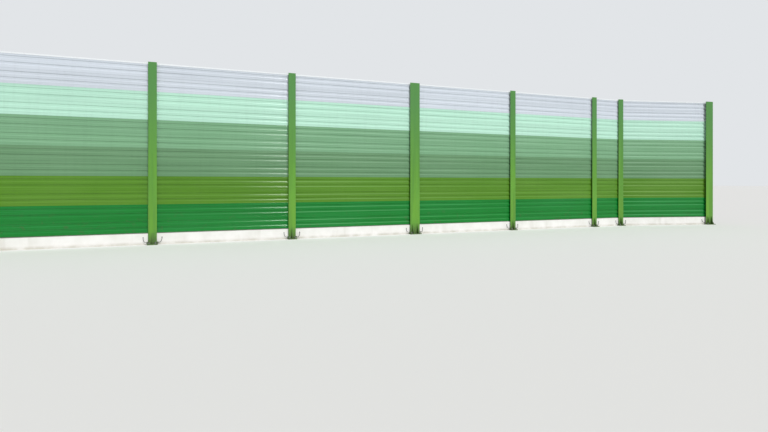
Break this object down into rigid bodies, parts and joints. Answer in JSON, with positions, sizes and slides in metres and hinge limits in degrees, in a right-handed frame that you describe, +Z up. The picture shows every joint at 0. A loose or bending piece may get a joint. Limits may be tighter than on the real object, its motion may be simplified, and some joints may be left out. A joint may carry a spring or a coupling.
{
  "type": "railway noise barrier section",
  "caption": "Run of railway noise barrier with an angled last bay: ribbed aluminium cassettes in green bands, between steel H-posts on concrete beams.",
  "frame": {"origin": "centre of the underside of the first post's base plate, at ground level", "axes": "+X along the barrier to the right as seen from the track, -Y towards the track, +Z up"},
  "size_m": [32.1778, 1.7544, 6.46],
  "materials": {
    "post_green": "satin paint",
    "plinth_concrete": "matt precast concrete",
    "cap_white": "satin paint",
    "band_white": "satin powder coat",
    "band_mint": "satin powder coat",
    "band_sage": "satin powder coat",
    "band_grey_green": "satin powder coat",
    "band_olive": "satin powder coat",
    "band_emerald": "satin powder coat",
    "black_rubber": "matt",
    "jumper_sheath": "matt black sheath",
    "galvanised": "hot-dip galvanised"
  },
  "bodies": {
    "root": {"post_1": "post_green", "post_2": "post_green", "post_3": "post_green", "post_4": "post_green", "post_5": "post_green", "post_6": "post_green", "post_7": "post_green", "post_8": "post_green", "plinth_beam_1": "plinth_concrete", "plinth_beam_2": "plinth_concrete", "plinth_beam_3": "plinth_concrete", "plinth_beam_4": "plinth_concrete", "plinth_beam_5": "plinth_concrete", "plinth_beam_6": "plinth_concrete", "plinth_beam_7": "plinth_concrete", "top_cap_1": "cap_white", "top_cap_2": "cap_white", "top_cap_3": "cap_white", "top_cap_4": "cap_white", "top_cap_5": "cap_white", "top_cap_6": "cap_white", "top_cap_7": "cap_white", "cassettes_row_01_emerald": "band_emerald", "cassettes_row_02_emerald": "band_emerald", "cassettes_row_03_olive": "band_olive", "cassettes_row_04_olive": "band_olive", "cassettes_row_05_grey_green": "band_grey_green", "cassettes_row_06_grey_green": "band_grey_green", "cassettes_row_07_sage": "band_sage", "cassettes_row_08_sage": "band_sage", "cassettes_row_09_mint": "band_mint", "cassettes_row_10_mint": "band_mint", "cassettes_row_11_white": "band_white", "cassettes_row_12_white": "band_white", "base_strips": "black_rubber", "rear_strips": "black_rubber", "front_strips": "black_rubber", "earthing_jumpers": "jumper_sheath"}
  },
  "joints": []
}
